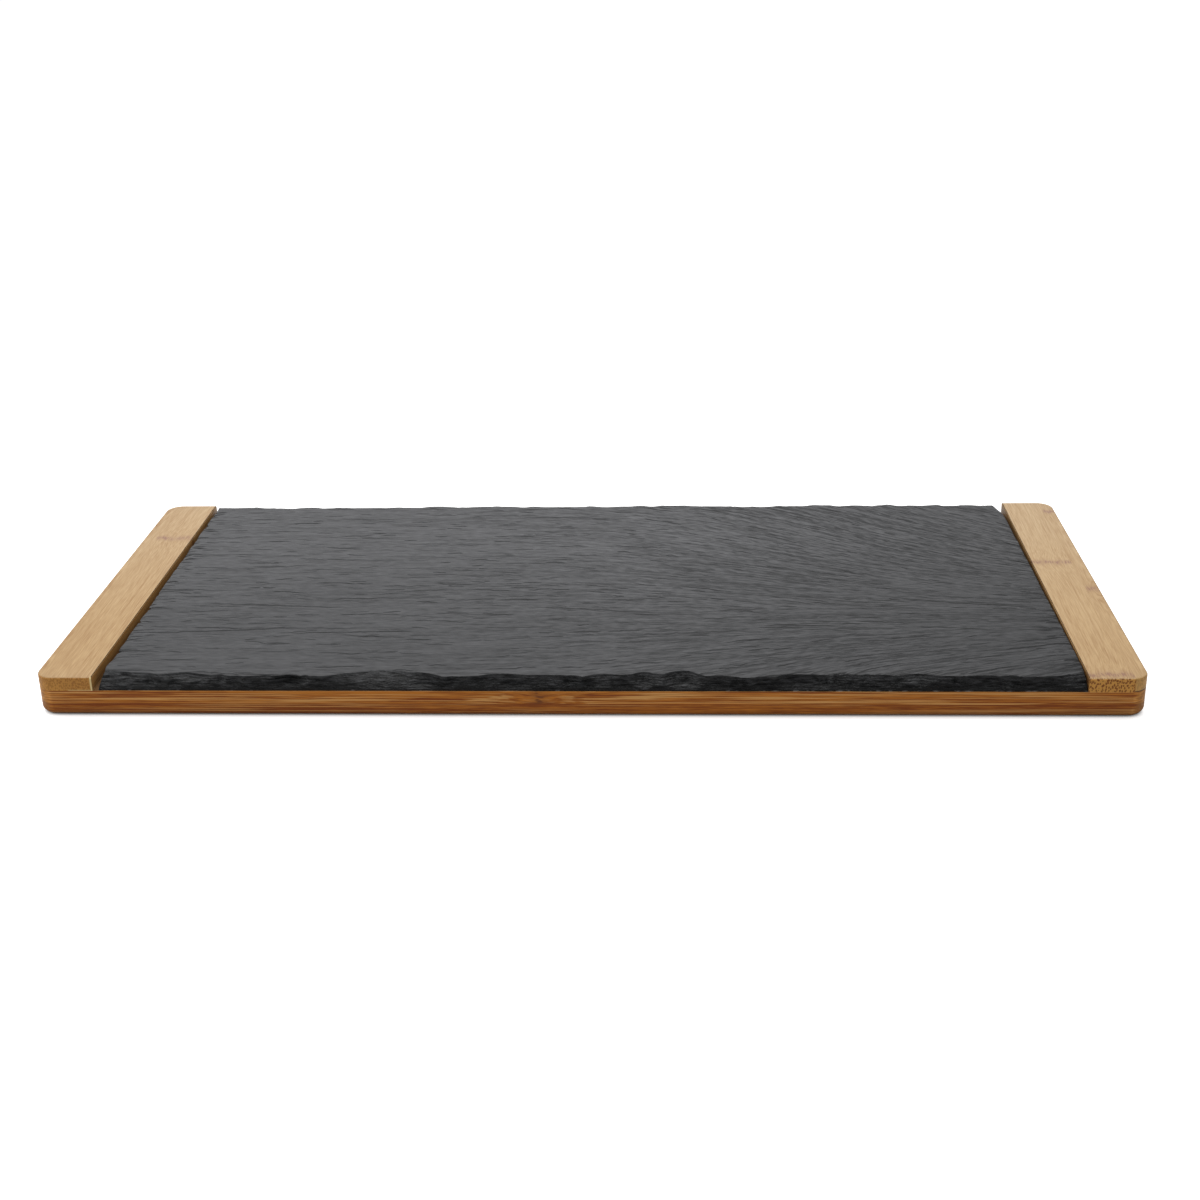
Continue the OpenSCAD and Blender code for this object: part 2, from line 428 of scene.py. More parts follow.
def riven_relief(x, y):
    """How far the split face lies below its highest plane. Slate splits along layers, so
    the face is a stack of shallow steps: sawtooth waves across the grain, whose line
    wanders, whose height comes and goes in long patches, over a slow swell."""
    wander = layered_noise(x / (70 * MM), y / (30 * MM), seed=71) - 0.5
    across = cleavage(x, y)[0] + 5 * MM * wander
    relief = FACE_SWELL * layered_noise(x / (110 * MM), y / (70 * MM), seed=73)
    for spacing, height, seed in FACE_STEPS:
        phase = across / spacing + 1.1 * layered_noise(x / (9 * spacing), across / (2.5 * spacing), seed)
        rise = phase - np.floor(phase)
        tooth = np.minimum(rise / 0.75, (1 - rise) / 0.25)
        patch = layered_noise(x / (11 * spacing), across / (1.6 * spacing), seed + 5)
        relief = relief + height * tooth * smooth_step((patch - 0.42) / 0.2)
    return relief


def slate_mesh(material):
    """The slate as one closed surface: a grid for the riven face, rings round its border
    for the dressed edge, and rings that shrink to a strip for the underside. Its attributes
    are rim (1 on the dressed edge), level (0 at the foot to 1 at the face), and the
    cleavage's slope and coordinates."""
    us = np.linspace(0, 1, SLATE_COLUMNS + 1)
    even = np.linspace(0, 1, SLATE_ROWS + 1)
    vs = even - ROW_CROWDING * np.sin(2 * math.pi * even) / (2 * math.pi)
    u, v = np.meshgrid(us, vs, indexing="ij")
    x, y = slate_place(u, v, np.ones_like(u))
    from_edge = np.minimum(np.minimum(u, 1 - u) * SLATE_LENGTH, np.minimum(v, 1 - v) * SLATE_DEPTH)
    lip = LIP_DROP * taper(from_edge, LIP_WIDTH) * lattice_noise(x / (6 * MM), y / (6 * MM), seed=61)
    top = SLATE_HIGH.z - riven_relief(x, y) - lip
    index = np.arange(u.size).reshape(u.shape)
    border = np.concatenate([index[:-1, 0], index[-1, :-1], index[:0:-1, -1], index[0, :0:-1]])
    # Each part of the surface is (points, rim, level)
    parts = [(np.stack([x.ravel(), y.ravel(), top.ravel()], -1), 0, 1)]
    border_top = top.ravel()[border]
    # Three rings on each layer: at its upper ledge, its middle and its lower ledge
    on_layer = np.array([0.97, 0.5, 0.03])
    levels = ((np.arange(LAYERS)[::-1, None] + on_layer) / LAYERS).ravel()
    for level in np.append(levels, 0):
        ring_x, ring_y = slate_place(u.ravel()[border], v.ravel()[border], np.full(len(border), level))
        ring_z = SLATE_LOW.z + level * (border_top - SLATE_LOW.z)
        parts.append((np.stack([ring_x, ring_y, ring_z], -1), 1, level))
    # Underside: the last ring drawn in to a narrow strip along the plate's middle
    foot = parts[-1][0]
    spine_x = np.clip(foot[:, 0], SLATE_LOW.x + SPINE_INSET, SLATE_HIGH.x - SPINE_INSET)
    spine = np.stack([spine_x, foot[:, 1] * SPINE_SHARE, foot[:, 2]], -1)
    for share in (0.02, 0.1, 0.5, 1):
        parts.append((foot + (spine - foot) * share, 0, 0))
    points = np.concatenate([part for part, rim, level in parts])
    across, slope = cleavage(points[:, 0], points[:, 1])
    attributes = {"rim": np.concatenate([np.full(len(part), float(rim)) for part, rim, level in parts]),
                  "level": np.concatenate([np.full(len(part), float(level)) for part, rim, level in parts]),
                  "slope": slope, "cleavage": np.stack([points[:, 0], across, points[:, 2]], -1)}
    starts = u.size + len(border) * np.arange(len(parts) - 1)
    rings = [border] + [start + np.arange(len(border)) for start in starts]
    walls = [np.stack([a, b, np.roll(b, -1), np.roll(a, -1)], -1) for a, b in zip(rings, rings[1:])]
    face = np.stack([index[:-1, :-1], index[1:, :-1], index[1:, 1:], index[:-1, 1:]], -1).reshape(-1, 4)
    quads = np.concatenate([face] + walls)
    piece = mesh_piece("slate_plate_riven", points, quads, attributes, SLATE_SHARP_ANGLE)
    piece.data.materials.append(material)
    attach(piece, "slate")
    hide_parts("slate_plate")


# Materials

# Vascular bundles to a metre along, across and up a slat: as lines, and as dots on its ends
BUNDLES = (3.0, 1250.0, 1250.0)
BUNDLE_ENDS = (3.0, 1450.0, 950.0)
# Colours of the joints that show on the bamboo, and of the shade painted into the gap beside the slate
NODE_ON_SIDE = (0.16, 0.055, 0.014)
PALE_END = (0.66, 0.43, 0.17)
OPEN_CRACK = (0.03, 0.012, 0.005)
DRIED_GLUE = (0.80, 0.58, 0.27)
GLUED_CORNER = (0.90, 0.72, 0.38)
PAINTED_GAP_SHADE = (0.03, 0.014, 0.006)
# Colours of the slate's riven face and of its dressed edge; the edge's shaded and lit colours are painted
# shade and painted light, the crease colour is painted shade and the pale spots at the foot are painted
# glints
FACE_DARK = (0.0425, 0.0429, 0.0449)
FACE_PALE = (0.160, 0.1606, 0.167)
CREASE_SHADE = (0.004, 0.004, 0.0044)
EDGE_SHADED = (0.0012, 0.0013, 0.0015)
EDGE_LIT = (0.031, 0.0315, 0.0335)
PAINTED_GLINT = (0.15, 0.15, 0.15)
# Creases of the riven face: length and width of the cell that each one lies in, width of
# its line, how readily a cell has one, and strength
CREASES = ((11 * MM, 4.6 * MM, 0.7 * MM, 0.7, 0.9), (24 * MM, 10 * MM, 0.7 * MM, 0.7, 0.95),
           (75 * MM, 26 * MM, 0.9 * MM, 0.6, 0.8))
# The same without a strength for the nicks at the sides, which set in at these distances
# from the middle
SIDE_NICKS = (13 * MM, 4.8 * MM, 1.2 * MM, 2.2)
NICKS_SET_IN = (188 * MM, 196 * MM)


class Tree:
    """Adds nodes to a node tree. An argument that is a socket is linked; any other value
    is set on the input."""

    def __init__(self, tree):
        self.tree = tree

    def node(self, kind, values=None, **settings):
        """A new node of this kind, given its settings first and then its input values."""
        made = self.tree.nodes.new(kind)
        for key, value in settings.items():
            setattr(made, key, value)
        for key, value in (values or {}).items():
            self.feed(made.inputs[key], value)
        return made

    def feed(self, socket, value):
        """Links value to the socket, or sets it there if it isn't a socket itself."""
        if isinstance(value, bpy.types.NodeSocket):
            self.tree.links.new(value, socket)
        elif isinstance(value, tuple) and socket.type == "RGBA":
            socket.default_value = (*value[:3], 1)
        else:
            socket.default_value = value

    def math(self, operation, a, b=0.0, c=0.0, clamp=False):
        values = {0: a, 1: b, 2: c}
        return self.node("ShaderNodeMath", values, operation=operation, use_clamp=clamp).outputs[0]

    def total(self, *values):
        """Sum of the values, each a socket or a number."""
        result = values[0]
        for value in values[1:]:
            result = self.math("ADD", result, value)
        return result

    def product(self, *values):
        """Product of the values, each a socket or a number."""
        result = values[0]
        for value in values[1:]:
            result = self.math("MULTIPLY", result, value)
        return result

    def swing(self, value, gain):
        """A value round 0.5 turned into one round 0, times gain."""
        return self.product(self.math("SUBTRACT", value, 0.5), gain)

    def vector(self, operation, a, b=(0, 0, 0)):
        return self.node("ShaderNodeVectorMath", {0: a, 1: b}, operation=operation).outputs[0]

    def scaled(self, a, share):
        return self.node("ShaderNodeVectorMath", {0: a, "Scale": share}, operation="SCALE").outputs[0]

    def parts(self, vector):
        return self.node("ShaderNodeSeparateXYZ", {0: vector}).outputs

    def joined(self, x, y, z=0.0):
        return self.node("ShaderNodeCombineXYZ", {0: x, 1: y, 2: z}).outputs[0]

    def attribute(self, title, output="Fac"):
        return self.node("ShaderNodeAttribute", attribute_name=title).outputs[output]

    def band(self, value, low, high, to_low=0.0, to_high=1.0):
        """value carried smoothly from low..high to to_low..to_high, held outside."""
        values = {"Value": value, "From Min": low, "From Max": high, "To Min": to_low, "To Max": to_high}
        return self.node("ShaderNodeMapRange", values, interpolation_type="SMOOTHSTEP").outputs[0]

    def mix(self, share, a, b):
        """Colour a where share is 0 and b where it is 1."""
        made = self.node("ShaderNodeMix", {"Factor": share}, data_type="RGBA")
        for key, value in (("A", a), ("B", b)):
            self.feed([s for s in made.inputs if s.name == key and s.type == "RGBA"][0], value)
        return [s for s in made.outputs if s.type == "RGBA"][0]

    def mix_value(self, share, a, b):
        """a where share is 0 and b where it is 1."""
        return self.node("ShaderNodeMix", {0: share, 2: a, 3: b}, data_type="FLOAT").outputs[0]

    def noise(self, place, size, detail=2.0, roughness=0.5, output="Fac"):
        """Noise with features of the given size in metres."""
        place = self.vector("MULTIPLY", place, tuple(1 / length for length in size))
        values = {"Vector": place, "Scale": 1.0, "Detail": detail, "Roughness": roughness}
        return self.node("ShaderNodeTexNoise", values).outputs[output]

    def cells(self, place, randomness=1.0, **settings):
        """Outputs of a pattern of cells, each about one unit of place wide."""
        values = {"Vector": place, "Scale": 1.0, "Randomness": randomness}
        return self.node("ShaderNodeTexVoronoi", values, **settings).outputs

    def draws(self, colour):
        """The three values of a cell's random colour."""
        return self.node("ShaderNodeSeparateColor", {0: colour}).outputs


def new_group(name, inputs, outputs):
    """An empty shader node group with named sockets; inputs holds name, type, default."""
    group = bpy.data.node_groups.new(name, "ShaderNodeTree")
    for title, kind, default in inputs:
        socket = group.interface.new_socket(title, in_out="INPUT", socket_type="NodeSocket" + kind)
        if default is not None:
            socket.default_value = default
    for title, kind in outputs:
        group.interface.new_socket(title, in_out="OUTPUT", socket_type="NodeSocket" + kind)
    tree = Tree(group)
    return group, tree, tree.node("NodeGroupInput").outputs, tree.node("NodeGroupOutput").inputs


def node_mark(tree, grain, from_node):
    """A culm's node: short dark dashes along the grain in a soft band. Returns how strongly
    the node shows, and the dashes alone."""
    ragged = tree.noise(grain, (0.014, 0.0022, 0.0022), detail=2.0)
    from_line = tree.math("ABSOLUTE", tree.total(from_node, tree.swing(ragged, 0.007)))
    dashes = tree.band(tree.noise(grain, (0.004, 0.0007, 0.0007), detail=1.0), 0.42, 0.60)
    dashes = tree.product(dashes, tree.band(from_line, 0.0026, 0.0006))
    halo = tree.band(from_line, 0.0055, 0.0005)
    return tree.math("ADD", tree.product(dashes, 0.65), tree.product(halo, 0.32), clamp=True), dashes


def joint_marks(tree, colour, seam, end_grain, across, up, cloudy):
    """colour with what shows of the joint under the slat. A slat whose joint is open has
    pale ends and a dark crack under it; dried glue shows under the other kind, and up the
    inner corner of its ends."""
    cracked = tree.math("MAXIMUM", seam, 0.0)
    glued = tree.math("MAXIMUM", tree.product(seam, -1.0), 0.0)
    foot = tree.band(up, 0.10, 0.03)
    inner_corner = tree.band(across, 0.95, 0.97)
    patches = tree.band(cloudy, 0.40, 0.52)
    colour = tree.mix(tree.product(cracked, end_grain, 0.45), colour, PALE_END)
    colour = tree.mix(tree.product(cracked, foot), colour, OPEN_CRACK)
    colour = tree.mix(tree.product(glued, foot, 0.75, patches), colour, DRIED_GLUE)
    return tree.mix(tree.product(glued, inner_corner, end_grain), colour, GLUED_CORNER)


def bamboo_group():
    """The wood of a bamboo slat, worked out in the slat's own grain coordinates, so that
    the bundles are lines on its long faces and dots on its ends."""
    group, tree, given, result = new_group(
        "bamboo_grain",
        [("Grain", "Vector", None), ("Slat", "Vector", None), ("From Node", "Float", 0.0),
         ("End Grain", "Float", 0.0), ("Pale", "Color", None), ("Dark", "Color", None),
         ("Gold", "Color", None), ("Node Colour", "Color", None), ("Contrast", "Float", 0.5),
         ("Fibre", "Float", 0.5), ("Dots", "Float", 1.0), ("Seam", "Float", 0.0)],
        [("Color", "Color"), ("Roughness", "Float"), ("Height", "Float")])
    grain = given["Grain"]
    across, up, tone = tree.parts(given["Slat"])
    contrast = given["Contrast"]
    # Near the culm's node the fibres bend and leave their line
    near_node = tree.math("DIVIDE", given["From Node"], 0.013)
    pinch = tree.math("DIVIDE", 1.0, tree.math("ADD", tree.product(near_node, near_node), 1.0))
    wander = tree.noise(grain, (0.025, 0.0045, 0.0045), detail=1.0, output="Color")
    wander = tree.vector("SUBTRACT", wander, (0.5, 0.5, 0.5))
    moved = tree.vector("ADD", grain, tree.scaled(wander, tree.math("MULTIPLY_ADD", pinch, 0.0007, 0.0003)))
    bend = tree.product(pinch, 0.0018)
    moved = tree.vector("ADD", moved, tree.joined(0.0, bend, bend))
    # Vascular bundles, which are stronger towards the top of the slat
    cells = tree.cells(tree.vector("MULTIPLY", moved, BUNDLES), randomness=0.8)
    bundle = tree.band(cells["Distance"], 0.50, 0.18)
    bundle = tree.product(bundle, tree.math("MULTIPLY_ADD", up, 0.5, 0.5),
                          tree.math("MULTIPLY_ADD", tree.draws(cells["Color"])[0], 0.8, 0.3))
    # Streaks from broad to fine
    broad = tree.noise(moved, (0.16, 0.0022, 0.0022), detail=2.0)
    streak = tree.noise(moved, (0.07, 0.00060, 0.00060), detail=1.5)
    fine = tree.noise(moved, (0.010, 0.00045, 0.00045), detail=2.0, roughness=0.6)
    cloudy = tree.noise(grain, (0.05, 0.012, 0.012), detail=2.0)
    # The outside of the culm, which is the darker, has few golden streaks, and so has a node
    streaked = tree.product(contrast, tree.math("MULTIPLY_ADD", tone, -1.1, 1.35, clamp=True),
                            tree.band(tree.math("ABSOLUTE", near_node), 0.3, 1.9, 0.25, 1.0))
    gold = tree.product(tree.band(streak, 0.50, 0.60), tree.band(broad, 0.36, 0.56), streaked)
    umber = tree.product(tree.band(streak, 0.47, 0.34), streaked)
    long_dark = tree.total(tree.swing(broad, tree.product(contrast, 1.6)), tree.product(umber, 0.5),
                           tree.product(tree.swing(fine, 2.4), given["Fibre"]),
                           tree.product(bundle, given["Fibre"], 0.35))
    # On the ends the bundles are dots, strong where the slat's wood is pale
    dots = tree.cells(tree.vector("MULTIPLY", moved, BUNDLE_ENDS), randomness=0.75)["Distance"]
    end_dark = tree.total(tree.swing(tree.band(dots, 0.62, 0.38), 2.1), tree.swing(up, 0.7),
                          tree.swing(fine, 2.2))
    end_dark = tree.product(end_dark, tree.band(tone, 0.60, 0.42, 0.18, 1.0), given["Dots"])
    darkness = tree.mix_value(given["End Grain"], long_dark, end_dark)
    darkness = tree.math("ADD", tree.total(darkness, tree.swing(cloudy, 0.5), tree.swing(tone, 0.9)),
                         0.34, clamp=True)
    colour = tree.mix(darkness, given["Pale"], given["Dark"])
    long_face = tree.math("SUBTRACT", 1.0, given["End Grain"])
    colour = tree.mix(tree.product(gold, long_face), colour, given["Gold"])
    mark, dashes = node_mark(tree, grain, given["From Node"])
    colour = tree.mix(tree.product(mark, long_face), colour, given["Node Colour"])
    colour = joint_marks(tree, colour, given["Seam"], given["End Grain"], across, up, cloudy)
    # Glue lines at the slat's own edges
    edge = tree.math("MINIMUM", across, tree.math("SUBTRACT", 1.0, across))
    colour = tree.mix(tree.product(tree.band(edge, 0.012, 0.0), 0.3), colour, given["Dark"])
    tree.feed(result["Color"], colour)
    tree.feed(result["Roughness"], tree.math("MULTIPLY_ADD", bundle, 0.1, 0.46))
    tree.feed(result["Height"], tree.total(tree.swing(fine, -0.8), tree.product(bundle, -0.4),
                                           tree.product(dashes, -0.5)))
    return group


def crease_group():
    """Creases of the riven face: in each stretched cell of a plane pattern lies at most one
    dash, leaning by the slope, wavy, and thin towards its ends and its cell's border."""
    group, tree, given, result = new_group(
        "slate_crease",
        [("Place", "Vector", None), ("Slope", "Float", 0.0), ("Cell Length", "Float", 0.02),
         ("Cell Width", "Float", 0.006), ("Line", "Float", 0.0008), ("Share", "Float", 0.6)],
        [("Depth", "Float")])
    x, y, z = tree.parts(given["Place"])
    cell = tree.joined(tree.math("DIVIDE", x, given["Cell Length"]),
                       tree.math("DIVIDE", y, given["Cell Width"]))
    nearest = tree.cells(cell, voronoi_dimensions="2D")
    border = tree.cells(cell, voronoi_dimensions="2D", feature="DISTANCE_TO_EDGE")["Distance"]
    draw = tree.draws(nearest["Color"])
    offset = tree.parts(tree.vector("SUBTRACT", cell, nearest["Position"]))
    slope = tree.total(given["Slope"], tree.swing(draw[0], 0.25))
    wave = tree.swing(tree.noise(given["Place"], (0.006, 0.006, 0.006), detail=2.0), 0.0028)
    along = tree.product(offset[0], given["Cell Length"])
    across = tree.product(offset[1], given["Cell Width"])
    across = tree.total(across, tree.product(along, slope, -1.0), wave)
    reach = tree.math("MULTIPLY_ADD", draw[1], 0.45, 0.2)
    share = tree.math("DIVIDE", offset[0], reach)
    body = tree.math("SUBTRACT", 1.0, tree.product(share, share), clamp=True)
    width = tree.product(given["Line"], tree.math("MULTIPLY_ADD", body, 0.85, 0.15))
    line = tree.band(tree.math("DIVIDE", tree.math("ABSOLUTE", across), width), 1.0, 0.15)
    chosen = tree.math("SUBTRACT", 1.0, tree.math("DIVIDE", draw[2], given["Share"]), clamp=True)
    depth = tree.product(line, tree.band(body, 0.0, 0.25), chosen, tree.band(border, 0.0, 0.10))
    tree.feed(result["Depth"], depth)
    return group


def new_material(name):
    """An empty material, its tree helper and its Principled BSDF."""
    material = bpy.data.materials.new(name)
    material.use_nodes = True
    material.node_tree.nodes.clear()
    tree = Tree(material.node_tree)
    shader = tree.node("ShaderNodeBsdfPrincipled")
    out = tree.node("ShaderNodeOutputMaterial")
    material.node_tree.links.new(shader.outputs[0], out.inputs[0])
    return material, tree, shader


def bamboo_material(name, group, grain_axis, top, side, end, mark, contrast, fibre, dots, tint, gap_shade):
    """Oiled bamboo whose grain runs along grain_axis, 0 for X and 1 for Y. top, side and end
    are (pale, dark, gold) colours for faces that look up or down, sideways across the grain,
    and along it, where the end grain drinks the oil. mark is the colour of a node on the
    top. contrast and fibre hold the strength of the streaks and of the fibres, on the top
    and on the sides, and dots is that of the bundles on the ends. tint holds the colours
    that the wood is multiplied by at the tray's front and back, and gap_shade is how strongly
    shade is painted on the top along the foot of the handle strips' inner walls."""
    material, tree, shader = new_material(name)
    facing = tree.parts(tree.node("ShaderNodeTexCoord").outputs["Normal"])
    level = tree.band(tree.math("ABSOLUTE", facing[2]), 0.45, 0.95)
    along = tree.band(tree.math("ABSOLUTE", facing[grain_axis]), 0.10, 0.65)
    pale, dark, gold = (tree.mix(level, tree.mix(along, side[i], end[i]), top[i]) for i in range(3))
    values = {
        "Grain": tree.attribute("grain", "Vector"), "Slat": tree.attribute("slat", "Vector"),
        "From Node": tree.attribute("from_node"), "Seam": tree.attribute("seam"), "End Grain": along,
        "Pale": pale, "Dark": dark, "Gold": gold, "Node Colour": tree.mix(level, NODE_ON_SIDE, mark),
        "Contrast": tree.mix_value(level, contrast[1], contrast[0]),
        "Fibre": tree.mix_value(level, fibre[1], fibre[0]), "Dots": dots}
    wood = tree.node("ShaderNodeGroup", values, node_tree=group)
    relief = {"Height": wood.outputs["Height"], "Strength": 0.25, "Distance": 0.2 * MM}
    bump = tree.node("ShaderNodeBump", relief)
    x, y, z = tree.parts(tree.node("ShaderNodeTexCoord").outputs["Object"])
    # The wood is paler and cooler towards the back of the tray
    front_back_tint = tree.mix(tree.band(y, -0.09, 0.12), *tint)
    colour = tree.vector("MULTIPLY", wood.outputs["Color"], front_back_tint)
    # Painted shade: the walls beside the slate, more with depth, and the foot of the gap between them are
    # darkened
    foot = tree.band(tree.math("ABSOLUTE", x), HANDLE_INNER - 6 * MM, HANDLE_INNER - 2 * MM)
    painted_gap_shade = tree.total(tree.product(tree.attribute("shade"), 0.6), tree.product(foot, level, gap_shade))
    tree.feed(shader.inputs["Base Color"], tree.mix(painted_gap_shade, colour, PAINTED_GAP_SHADE))
    tree.feed(shader.inputs["Roughness"], wood.outputs["Roughness"])
    tree.feed(shader.inputs["Normal"], bump.outputs[0])
    shader.inputs["IOR"].default_value = 1.40
    shader.inputs["Specular IOR Level"].default_value = 0.35
    return material


def slate_material(crease):
    """Riven slate: dark grey with fine ripples and short creases along the cleavage, the
    creases painted near black as their shade, and, on the dressed edge, darker stone in painted
    shade lower down and painted light on its chips' upper lips, with a few painted glints
    along its foot."""
    material, tree, shader = new_material("riven_slate")
    place = tree.node("ShaderNodeTexCoord").outputs["Object"]
    x, y, z = tree.parts(place)
    flow = tree.attribute("cleavage", "Vector")
    slope = tree.attribute("slope")
    rim = tree.attribute("rim")
    level = tree.attribute("level")
    drift = tree.noise(place, (0.11, 0.05, 0.05), detail=3.0)
    # The fine lines wander a little across the grain
    waver = tree.swing(tree.noise(place, (0.012, 0.004, 0.004), detail=1.0), 0.003)
    wavy = tree.vector("ADD", flow, tree.joined(0.0, waver))
    ripple = tree.noise(wavy, (0.024, 0.0015, 0.0015), detail=1.0)
    speck = tree.noise(wavy, (0.0045, 0.0013, 0.0013), detail=1.0)
    # Three sizes of crease, and nicks that start at the left and right sides
    near_side = tree.band(tree.math("ABSOLUTE", x), *NICKS_SET_IN)
    creases = 0.0
    for length, width, line, share, strength in (*CREASES, (*SIDE_NICKS, near_side)):
        values = {"Place": place, "Slope": slope, "Cell Length": length, "Cell Width": width,
                  "Line": line, "Share": share}
        one = tree.node("ShaderNodeGroup", values, node_tree=crease)
        creases = tree.math("MAXIMUM", creases, tree.product(one.outputs["Depth"], strength))
    trough = tree.band(ripple, 0.47, 0.34)
    crest = tree.band(ripple, 0.53, 0.66)
    lines = tree.total(tree.product(trough, -0.25), tree.product(crest, 0.21), tree.swing(speck, 1.1))
    # Towards the right the lines stand out more and the stone darkens, as it does to the front: partly the
    # stone's own tone, partly a painted sheen that lightens the back and the left
    lines = tree.product(lines, tree.band(x, -0.12, 0.20, 0.62, 2.0))
    sheen_and_tone = tree.product(tree.band(x, -0.10, 0.22, 1.0, 0.66), tree.band(y, -0.11, 0.10, 0.80, 1.15))
    tone = tree.math("ADD", tree.total(tree.swing(drift, 0.3), lines), 0.5, clamp=True)
    face = tree.mix(tone, FACE_DARK, FACE_PALE)
    face = tree.mix(tree.math("SUBTRACT", 1.0, tree.product(sheen_and_tone, 0.9)), face, (0, 0, 0))
    # Creases and the side nicks painted near black: painted shade of their small steps
    face = tree.mix(tree.product(creases, 1.15), face, CREASE_SHADE)
    # The broken edge, painted near black lower down as painted shade and lighter on the upper lips of its
    # chips and towards its top as painted highlight
    chip = tree.noise(place, (0.005, 0.005, 0.0008), detail=3.0, roughness=0.65)
    lit_lip = tree.total(chip, tree.swing(level, 0.26))
    broken = tree.mix(tree.band(lit_lip, 0.44, 0.68), EDGE_SHADED, EDGE_LIT)
    # Painted glints: pale spots along its foot, most of all at the front on the right
    glint_spots = tree.total(tree.noise(place, (0.004, 0.003, 0.003), detail=3.0),
                         tree.band(x, 0.03, 0.09, 0.0, 0.08))
    glint = tree.product(tree.band(level, 0.13, 0.03), tree.band(glint_spots, 0.56, 0.70))
    broken = tree.mix(tree.product(glint, 0.9), broken, PAINTED_GLINT)
    tree.feed(shader.inputs["Base Color"], tree.mix(rim, face, broken))
    tree.feed(shader.inputs["Roughness"], tree.mix_value(rim, tree.band(ripple, 0.3, 0.7, 0.50, 0.60), 0.42))
    face_height = tree.total(tree.product(trough, -0.4), tree.product(creases, -1.0), tree.swing(speck, 0.5))
    height = tree.mix_value(rim, face_height, tree.swing(chip, 5.0))
    bump = tree.node("ShaderNodeBump", {"Height": height, "Strength": 0.6, "Distance": 0.4 * MM})
    tree.feed(shader.inputs["Normal"], bump.outputs[0])
    shader.inputs["IOR"].default_value = 1.5
    shader.inputs["Specular IOR Level"].default_value = 0.21
    return material


# Light, floor and camera

FLOOR_HALF_SIZE = 12.0
SENSOR_WIDTH = 36


def area_light(name, place, size, power):
    """A soft rectangular lamp at place, turned to face the origin."""
    lamp = bpy.data.lights.new(name, "AREA")
    lamp.shape = "RECTANGLE"
    lamp.size, lamp.size_y = size
    lamp.energy = power
    thing = bpy.data.objects.new(name, lamp)
    thing.location = place
    thing.rotation_euler = (-Vector(place)).to_track_quat("-Z", "Y").to_euler()
    bpy.context.scene.collection.objects.link(thing)


def studio_world(level):
    """Grey surroundings that light the object, and white behind it for the camera."""
    world = bpy.data.worlds.new("studio")
    world.use_nodes = True
    world.node_tree.nodes.clear()
    tree = Tree(world.node_tree)
    seen = tree.node("ShaderNodeLightPath").outputs["Is Camera Ray"]
    strength = tree.math("MULTIPLY_ADD", seen, 1.0 - level, level)
    background = tree.node("ShaderNodeBackground", {"Color": (1, 1, 1), "Strength": strength})
    tree.node("ShaderNodeOutputWorld", {"Surface": background.outputs[0]})
    bpy.context.scene.world = world


def studio_floor(shadowed, seen_glow, bounce):
    """A pale floor. For the camera it is white with a little glow, which is cut by ambient
    occlusion where the object almost touches it, a painted contact shadow beside the object's
    own shadow; to everything else it is a plain grey."""
    corners = [(x * FLOOR_HALF_SIZE, y * FLOOR_HALF_SIZE, 0)
               for x, y in ((-1, -1), (1, -1), (1, 1), (-1, 1))]
    mesh = bpy.data.meshes.new("floor")
    mesh.from_pydata(corners, [], [(0, 1, 2, 3)])
    floor = bpy.data.objects.new("floor", mesh)
    bpy.context.scene.collection.objects.link(floor)
    material, tree, shader = new_material("pale_floor")
    path = tree.node("ShaderNodeLightPath").outputs
    seen = tree.math("MAXIMUM", path["Is Camera Ray"], path["Is Glossy Ray"])
    tree.feed(shader.inputs["Base Color"], tree.mix(seen, (bounce,) * 3, (shadowed,) * 3))
    shader.inputs["Roughness"].default_value = 1.0
    shader.inputs["Specular IOR Level"].default_value = 0.0
    shader.inputs["Emission Color"].default_value = (1, 1, 1, 1)
    # Painted contact shadow: ambient occlusion takes the glow away close to the object
    open_sky = tree.node("ShaderNodeAmbientOcclusion", {"Distance": 6 * MM}, samples=8).outputs["AO"]
    glow = tree.product(path["Is Camera Ray"], tree.band(open_sky, 0.0, 0.7), seen_glow)
    tree.feed(shader.inputs["Emission Strength"], glow)
    mesh.materials.append(material)


def photo_camera(place, turn, tilt, roll, focal_share):
    """The photograph's camera: turn is to the left of +Y, tilt is below the horizon and
    roll about the view, in degrees; focal_share is focal length over the frame's width."""
    turn, tilt, roll = (math.radians(angle) for angle in (turn, tilt, roll))
    forward = Vector((-math.sin(turn) * math.cos(tilt), math.cos(turn) * math.cos(tilt), -math.sin(tilt)))
    right = Vector((math.cos(turn), math.sin(turn), 0))
    up = right.cross(forward)
    right, up = right * math.cos(roll) + up * math.sin(roll), up * math.cos(roll) - right * math.sin(roll)
    lens = bpy.data.cameras.new("photo_camera")
    lens.sensor_width = SENSOR_WIDTH
    lens.lens = SENSOR_WIDTH * focal_share
    lens.clip_start = 0.01
    camera = bpy.data.objects.new("photo_camera", lens)
    turned = Matrix((right, up, -forward)).transposed().to_4x4()
    camera.matrix_world = Matrix.Translation(place) @ turned
    bpy.context.scene.collection.objects.link(camera)
    bpy.context.scene.camera = camera


# Fitted to the photograph, in which the focal length is 1706.24 of the width's 1200 pixels
photo_camera(place=(0.04073, -0.72105, 0.31696), turn=3.072, tilt=23.182, roll=-1.275,
             focal_share=1706.24 / 1200)
bpy.context.scene.view_settings.view_transform = "Standard"
studio_world(level=0.42)
studio_floor(shadowed=0.95, seen_glow=0.66, bounce=0.45)
area_light("overhead", place=(-0.1, 0.45, 1.15), size=(1.5, 1.0), power=13)
area_light("left_side", place=(-1.2, -0.2, 0.7), size=(0.6, 0.8), power=3.5)

# Building the pieces

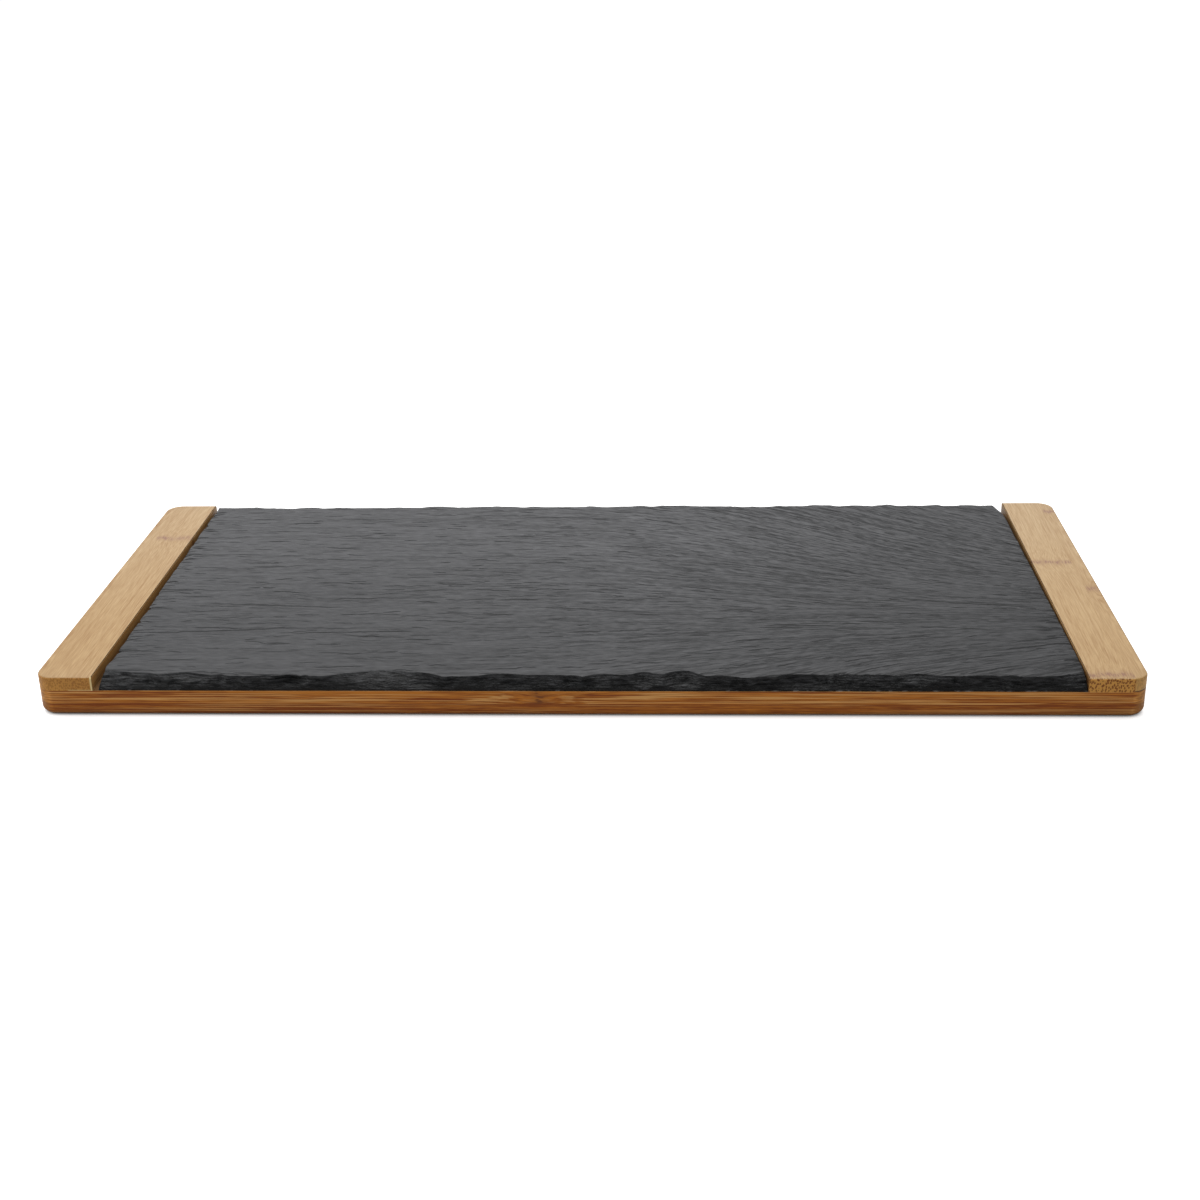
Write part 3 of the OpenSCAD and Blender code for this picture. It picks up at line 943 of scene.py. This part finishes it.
bamboo = bamboo_group()
handle_bamboo = bamboo_material(
    "handle_bamboo", bamboo, grain_axis=1,
    top=((0.60, 0.415, 0.225), (0.40, 0.235, 0.11), (0.66, 0.48, 0.28)),
    side=((0.62, 0.34, 0.115), (0.34, 0.155, 0.045), (0.70, 0.43, 0.17)),
    end=((0.72, 0.36, 0.085), (0.26, 0.085, 0.014), (0.72, 0.36, 0.085)), mark=(0.34, 0.19, 0.13),
    contrast=(0.28, 0.6), fibre=(0.85, 0.4), dots=1.0,
    tint=((0.985, 0.965, 0.90), (1.03, 1.085, 1.19)), gap_shade=0.0)
base_bamboo = bamboo_material(
    "base_bamboo", bamboo, grain_axis=0,
    top=((0.42, 0.215, 0.070), (0.27, 0.120, 0.032), (0.48, 0.27, 0.10)),
    side=((0.76, 0.275, 0.034), (0.26, 0.062, 0.006), (0.98, 0.53, 0.17)),
    end=((0.62, 0.27, 0.055), (0.22, 0.07, 0.012), (0.62, 0.27, 0.055)), mark=(0.17, 0.07, 0.02),
    contrast=(0.3, 1.4), fibre=(0.5, 0.9), dots=0.25, tint=((1, 1, 1), (1, 1, 1)), gap_shade=0.55)

# How far from its middle each slat has a culm's node, where the photograph tells; a place
# past the slat's end keeps the node out of sight
NODE_PLACES = {
    "left_handle_outer_slat": (0.28,), "left_handle_inner_slat": (0.0555,),
    "right_handle_inner_slat": (0.0215, -0.0992), "right_handle_outer_slat": (-0.011, 0.0895),
    "upper_base_slat_01": (-0.0185,), "lower_base_slat_01": (0.31,),
}
# How dark those slats are, from 0 for pale to 1 for dark
TONES = {
    "left_handle_outer_slat": 0.60, "left_handle_inner_slat": 0.60,
    "right_handle_inner_slat": 0.42, "right_handle_outer_slat": 0.55,
    "upper_base_slat_01": 0.38, "lower_base_slat_01": 0.84,
}
# What shows under a slat at its ends: 1 is an open crack and -1 is dried glue
SEAMS = {"right_handle_outer_slat": 1, "left_handle_inner_slat": -1}
# The slats' seeds count on from the first; one more is for the other slats' nodes and tones
FIRST_SEED = 200
SPREAD_SEED = 5

spread = np.random.default_rng(SPREAD_SEED)
for order, name in enumerate(sorted(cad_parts)):
    if name == "slate_plate":
        continue
    node_places = NODE_PLACES.get(name, (spread.uniform(-0.2, 0.2),))
    tone = TONES.get(name, spread.uniform(0.25, 0.75))
    if "handle" in name:
        handle_slat(name, handle_bamboo, FIRST_SEED + order, tone, node_places, SEAMS.get(name, 0))
    else:
        base_slat(name, base_bamboo, FIRST_SEED + order, tone, node_places)

slate_mesh(slate_material(crease_group()))
